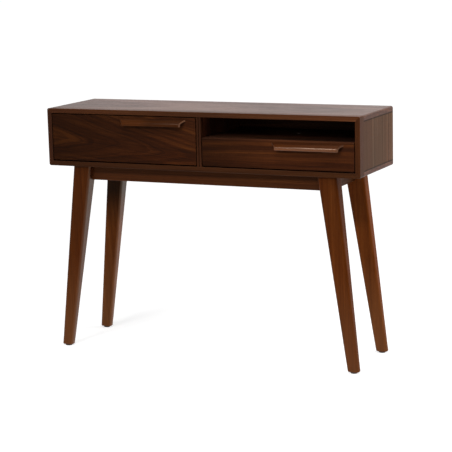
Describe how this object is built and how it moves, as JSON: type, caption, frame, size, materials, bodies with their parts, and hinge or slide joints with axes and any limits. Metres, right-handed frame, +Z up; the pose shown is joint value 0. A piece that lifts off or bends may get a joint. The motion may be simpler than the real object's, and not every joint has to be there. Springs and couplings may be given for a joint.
{
  "type": "console table",
  "caption": "Long walnut console table with a deep left drawer, an open compartment over a shallow right drawer, curved wooden pulls and four splayed tapered legs.",
  "frame": {"origin": "on the floor, under the middle of the bounding box, whose front face is the lips of the two pulls", "axes": "+X along the table towards its right-hand end as seen from the front, +Y from the drawer fronts to the back, +Z up"},
  "size_m": [1.1, 0.326, 0.811],
  "materials": {
    "walnut_veneer": "satin",
    "walnut_solid": "satin",
    "pale_hardwood": "matt lacquer",
    "zinc_steel": "zinc plated",
    "dark_plastic": "matt"
  },
  "bodies": {
    "case": {"edge_top": "walnut_solid", "edge_bottom": "walnut_solid", "edge_left": "walnut_solid", "edge_right": "walnut_solid", "case_top": "walnut_veneer", "case_bottom": "walnut_veneer", "case_side_left": "walnut_veneer", "case_side_right": "walnut_veneer", "divider": "walnut_veneer", "divider_edge": "walnut_solid", "shelf": "walnut_veneer", "shelf_cap": "dark_plastic", "back_panel": "walnut_veneer", "back_panel_screws": "zinc_steel", "case_tongues": "pale_hardwood", "leg_front_left": "walnut_solid", "leg_front_right": "walnut_solid", "leg_back_left": "walnut_solid", "leg_back_right": "walnut_solid", "corner_block_front_left": "pale_hardwood", "corner_block_front_right": "pale_hardwood", "corner_block_back_left": "pale_hardwood", "corner_block_back_right": "pale_hardwood", "apron_front": "walnut_solid", "apron_back": "walnut_solid", "apron_left": "walnut_solid", "apron_right": "walnut_solid", "corner_block_screws": "zinc_steel", "case_fixing_screws": "zinc_steel", "leg_glides": "dark_plastic", "runner_case_rails": "zinc_steel", "runner_case_screws": "zinc_steel"},
    "left_drawer": {"left_drawer_front": "walnut_veneer", "left_drawer_pull": "walnut_solid", "left_drawer_pull_screws": "zinc_steel", "left_drawer_side_left": "pale_hardwood", "left_drawer_side_right": "pale_hardwood", "left_drawer_box_front": "pale_hardwood", "left_drawer_box_back": "pale_hardwood", "left_drawer_bottom": "pale_hardwood", "left_drawer_front_screws": "zinc_steel", "left_drawer_rails": "zinc_steel", "left_drawer_rail_screws": "zinc_steel"},
    "left_middle": {"left_runner_middle_rails": "zinc_steel"},
    "left_outer_cage": {"left_runner_outer_cages": "zinc_steel"},
    "left_inner_cage": {"left_runner_inner_cages": "zinc_steel"},
    "right_drawer": {"right_drawer_front": "walnut_veneer", "right_drawer_pull": "walnut_solid", "right_drawer_pull_screws": "zinc_steel", "right_drawer_side_left": "pale_hardwood", "right_drawer_side_right": "pale_hardwood", "right_drawer_box_front": "pale_hardwood", "right_drawer_box_back": "pale_hardwood", "right_drawer_bottom": "pale_hardwood", "right_drawer_front_screws": "zinc_steel", "right_drawer_rails": "zinc_steel", "right_drawer_rail_screws": "zinc_steel"},
    "right_middle": {"right_runner_middle_rails": "zinc_steel"},
    "right_outer_cage": {"right_runner_outer_cages": "zinc_steel"},
    "right_inner_cage": {"right_runner_inner_cages": "zinc_steel"}
  },
  "joints": [
    {"name": "left_drawer_slide", "type": "slide", "parent": "case", "child": "left_drawer", "axis": [0, -1, 0], "range_m": [0, 0.23]},
    {"name": "left_middle_slide", "type": "slide", "parent": "case", "child": "left_middle", "axis": [0, -1, 0], "range_m": [0, 0.115]},
    {"name": "left_outer_cage_slide", "type": "slide", "parent": "case", "child": "left_outer_cage", "axis": [0, -1, 0], "range_m": [0, 0.0575]},
    {"name": "left_inner_cage_slide", "type": "slide", "parent": "case", "child": "left_inner_cage", "axis": [0, -1, 0], "range_m": [0, 0.1725]},
    {"name": "right_drawer_slide", "type": "slide", "parent": "case", "child": "right_drawer", "axis": [0, -1, 0], "range_m": [0, 0.23]},
    {"name": "right_middle_slide", "type": "slide", "parent": "case", "child": "right_middle", "axis": [0, -1, 0], "range_m": [0, 0.115]},
    {"name": "right_outer_cage_slide", "type": "slide", "parent": "case", "child": "right_outer_cage", "axis": [0, -1, 0], "range_m": [0, 0.0575]},
    {"name": "right_inner_cage_slide", "type": "slide", "parent": "case", "child": "right_inner_cage", "axis": [0, -1, 0], "range_m": [0, 0.1725]}
  ],
  "couplings": [
    {"joint": "left_middle_slide", "follows": "left_drawer_slide", "ratio": 0.5},
    {"joint": "left_outer_cage_slide", "follows": "left_drawer_slide", "ratio": 0.25},
    {"joint": "left_inner_cage_slide", "follows": "left_drawer_slide", "ratio": 0.75},
    {"joint": "right_middle_slide", "follows": "right_drawer_slide", "ratio": 0.5},
    {"joint": "right_outer_cage_slide", "follows": "right_drawer_slide", "ratio": 0.25},
    {"joint": "right_inner_cage_slide", "follows": "right_drawer_slide", "ratio": 0.75}
  ]
}
